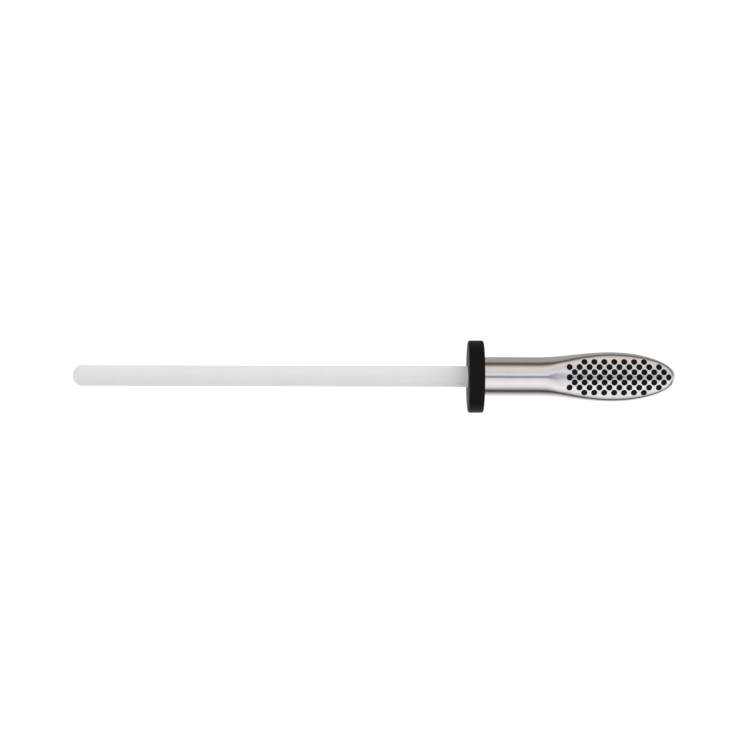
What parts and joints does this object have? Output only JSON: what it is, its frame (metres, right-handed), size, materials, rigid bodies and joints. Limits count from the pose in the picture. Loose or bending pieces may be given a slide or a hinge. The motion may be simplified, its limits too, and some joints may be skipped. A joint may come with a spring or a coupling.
{
  "type": "knife sharpening steel",
  "caption": "Ceramic knife sharpening rod with a round rubber guard and a hollow stainless grip with black dimples.",
  "frame": {"origin": "centre of the guard's front face, on the rod's axis, where the exposed rod begins", "axes": "-X along the rod towards its tip, +X along the grip; the two dimpled faces of the grip face +Z and -Z, as the object lies on a table; +Y is the grip's wide side"},
  "size_m": [0.366, 0.044, 0.044],
  "materials": {
    "rod_ceramic": "fine ground, matt",
    "guard_rubber": "moulded, satin",
    "turned_steel": "turned",
    "sleeve_nylon": "moulded, matt",
    "cushion_rubber": "cut sheet, matt",
    "grip_steel": "belt-polished round the grip, satin gloss",
    "dimple_enamel": "black, semi-gloss",
    "dry_sand": "loose grain"
  },
  "bodies": {
    "root": {"ceramic_rod": "rod_ceramic", "guard_ring": "guard_rubber", "neck_socket": "turned_steel", "rod_sleeve": "sleeve_nylon", "rod_cushion": "cushion_rubber", "handle_front_shell": "grip_steel", "handle_back_shell": "grip_steel", "front_dimple_enamel": "dimple_enamel", "back_dimple_enamel": "dimple_enamel", "sand_ballast": "dry_sand"}
  },
  "joints": []
}
